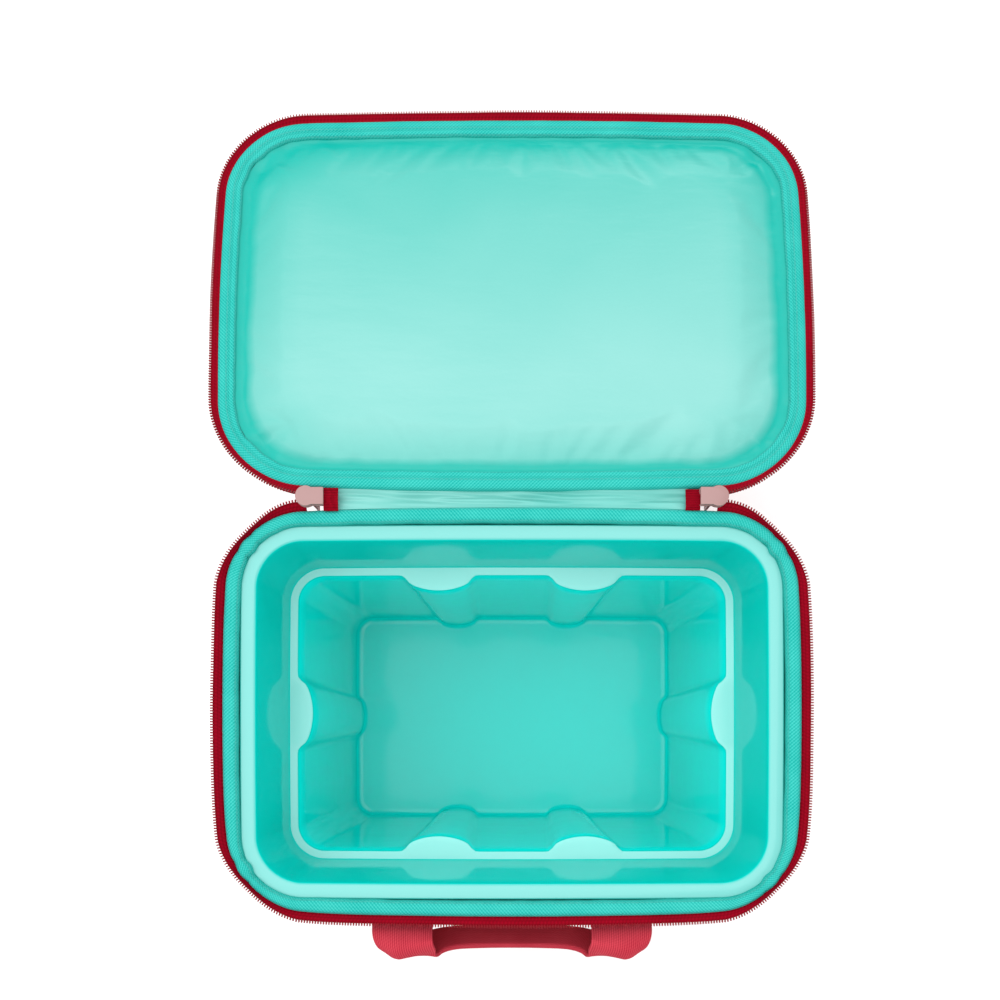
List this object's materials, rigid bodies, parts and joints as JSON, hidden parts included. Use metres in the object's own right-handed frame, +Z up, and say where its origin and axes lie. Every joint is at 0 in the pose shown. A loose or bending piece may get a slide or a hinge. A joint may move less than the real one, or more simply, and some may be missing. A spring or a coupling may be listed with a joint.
{
  "type": "cooler on wheels",
  "caption": "Soft-sided insulated cooler with a removable moulded liner, a zipped padded lid, rolling wheels, a telescoping trolley handle and a front grab strap.",
  "frame": {"origin": "middle of the flat pad under the base tray, 12 mm above the floor that the wheels and the foot stand on", "axes": "+Z up, +X towards the end with the wheels and the trolley handle, +Y towards the lid's fabric hinge; the front pocket and the grab strap face -Y"},
  "size_m": [0.4142, 0.5686, 0.366],
  "materials": {
    "shell_fabric": "coated woven polyester, satin",
    "webbing": "ribbed woven webbing",
    "zip_tape": "woven zip tape",
    "zip_teeth": "coil zip teeth",
    "binding": "woven binding tape",
    "lining": "glossy heat-welded film over fabric",
    "foam": "closed-cell foam board",
    "liner_plastic": "injection-moulded, glossy",
    "slider_coating": "matt coated zinc",
    "black_plastic": "fine textured moulding",
    "grey_plastic": "fine textured moulding",
    "tyre_rubber": "moulded rubber",
    "tube_metal": "anodised satin",
    "steel": "zinc plated",
    "patch": "blank woven patch"
  },
  "bodies": {
    "bag": {"base_tray": "black_plastic", "foot_skid": "tyre_rubber", "front_panel": "shell_fabric", "back_panel": "shell_fabric", "left_panel": "shell_fabric", "right_panel": "shell_fabric", "bottom_panel": "shell_fabric", "front_foam": "foam", "back_foam": "foam", "left_foam": "foam", "right_foam": "foam", "floor_foam": "foam", "bag_lining": "lining", "rim_binding": "binding", "bag_zip_tape": "zip_tape", "bag_zip_teeth": "zip_teeth", "zip_end_tabs": "zip_tape", "left_slider": "slider_coating", "right_slider": "slider_coating", "hinge_flap_bag": "lining", "front_pocket": "shell_fabric", "pocket_zip": "zip_tape", "label_patch": "patch", "strap_anchors": "webbing", "wheel_housings": "black_plastic", "front_axle": "steel", "back_axle": "steel", "axle_clips": "steel", "base_screws": "steel", "trolley_backplate": "black_plastic", "outer_tubes": "tube_metal", "trolley_bezel": "black_plastic", "trolley_foot": "black_plastic", "trolley_cover": "shell_fabric", "trolley_screws": "steel"},
    "front_wheel": {"front_wheel_hub": "grey_plastic", "front_wheel_tyre": "tyre_rubber", "front_wheel_bush": "grey_plastic"},
    "back_wheel": {"back_wheel_hub": "grey_plastic", "back_wheel_tyre": "tyre_rubber", "back_wheel_bush": "grey_plastic"},
    "liner": {"hard_liner": "liner_plastic"},
    "lid": {"lid_panel": "shell_fabric", "lid_foam": "foam", "lid_lining": "lining", "lid_binding": "binding", "lid_zip_tape": "zip_tape", "lid_zip_teeth": "zip_teeth", "hinge_flap_lid": "lining"},
    "strap": {"front_strap": "webbing"},
    "lower_stage": {"lower_tubes": "tube_metal"},
    "middle_stage": {"middle_tubes": "tube_metal"},
    "grip": {"upper_tubes": "tube_metal", "grip_outer_half": "black_plastic", "grip_inner_half": "black_plastic", "button_spring": "steel"},
    "button": {"release_button": "grey_plastic"},
    "left_pull": {"left_pull": "slider_coating"},
    "right_pull": {"right_pull": "slider_coating"},
    "pocket_slider": {"pocket_slider": "slider_coating"}
  },
  "joints": [
    {"name": "lid_hinge", "type": "hinge", "parent": "bag", "child": "lid", "pos_m": [0, 0.138, 0.351], "axis": [1, 0, 0], "range_deg": [0, 186.5], "deforming": ["hinge_flap_lid"]},
    {"name": "front_wheel_spin", "type": "hinge", "parent": "bag", "child": "front_wheel", "pos_m": [0.1725, -0.117, 0.018], "axis": [0, 1, 0], "continuous": true},
    {"name": "back_wheel_spin", "type": "hinge", "parent": "bag", "child": "back_wheel", "pos_m": [0.1725, 0.117, 0.018], "axis": [0, 1, 0], "continuous": true},
    {"name": "liner_lift", "type": "slide", "parent": "bag", "child": "liner", "axis": [0, 0, -1], "range_m": [-0.35, 0]},
    {"name": "strap_swing", "type": "hinge", "parent": "bag", "child": "strap", "pos_m": [0, -0.1359, 0.329], "axis": [-1, 0, 0], "range_deg": [0, 35]},
    {"name": "lower_stage_slide", "type": "slide", "parent": "bag", "child": "lower_stage", "axis": [0, 0, 1], "range_m": [0, 0.175]},
    {"name": "middle_stage_slide", "type": "slide", "parent": "lower_stage", "child": "middle_stage", "axis": [0, 0, 1], "range_m": [0, 0.175]},
    {"name": "grip_slide", "type": "slide", "parent": "middle_stage", "child": "grip", "axis": [0, 0, 1], "range_m": [0, 0.175]},
    {"name": "button_press", "type": "slide", "parent": "grip", "child": "button", "axis": [0, 0, -1], "range_m": [0, 0.003], "stiffness_N_per_m": 700, "springref_m": -0.002, "deforming": ["button_spring"]},
    {"name": "left_pull_swing", "type": "hinge", "parent": "bag", "child": "left_pull", "pos_m": [-0.1295, 0.138, 0.3469], "axis": [0, 1, 0], "range_deg": [-55, 55]},
    {"name": "right_pull_swing", "type": "hinge", "parent": "bag", "child": "right_pull", "pos_m": [0.1295, 0.138, 0.3469], "axis": [0, 1, 0], "range_deg": [-55, 55]},
    {"name": "pocket_zip_slide", "type": "slide", "parent": "bag", "child": "pocket_slider", "axis": [1, 0, 0], "range_m": [0, 0.19]}
  ]
}
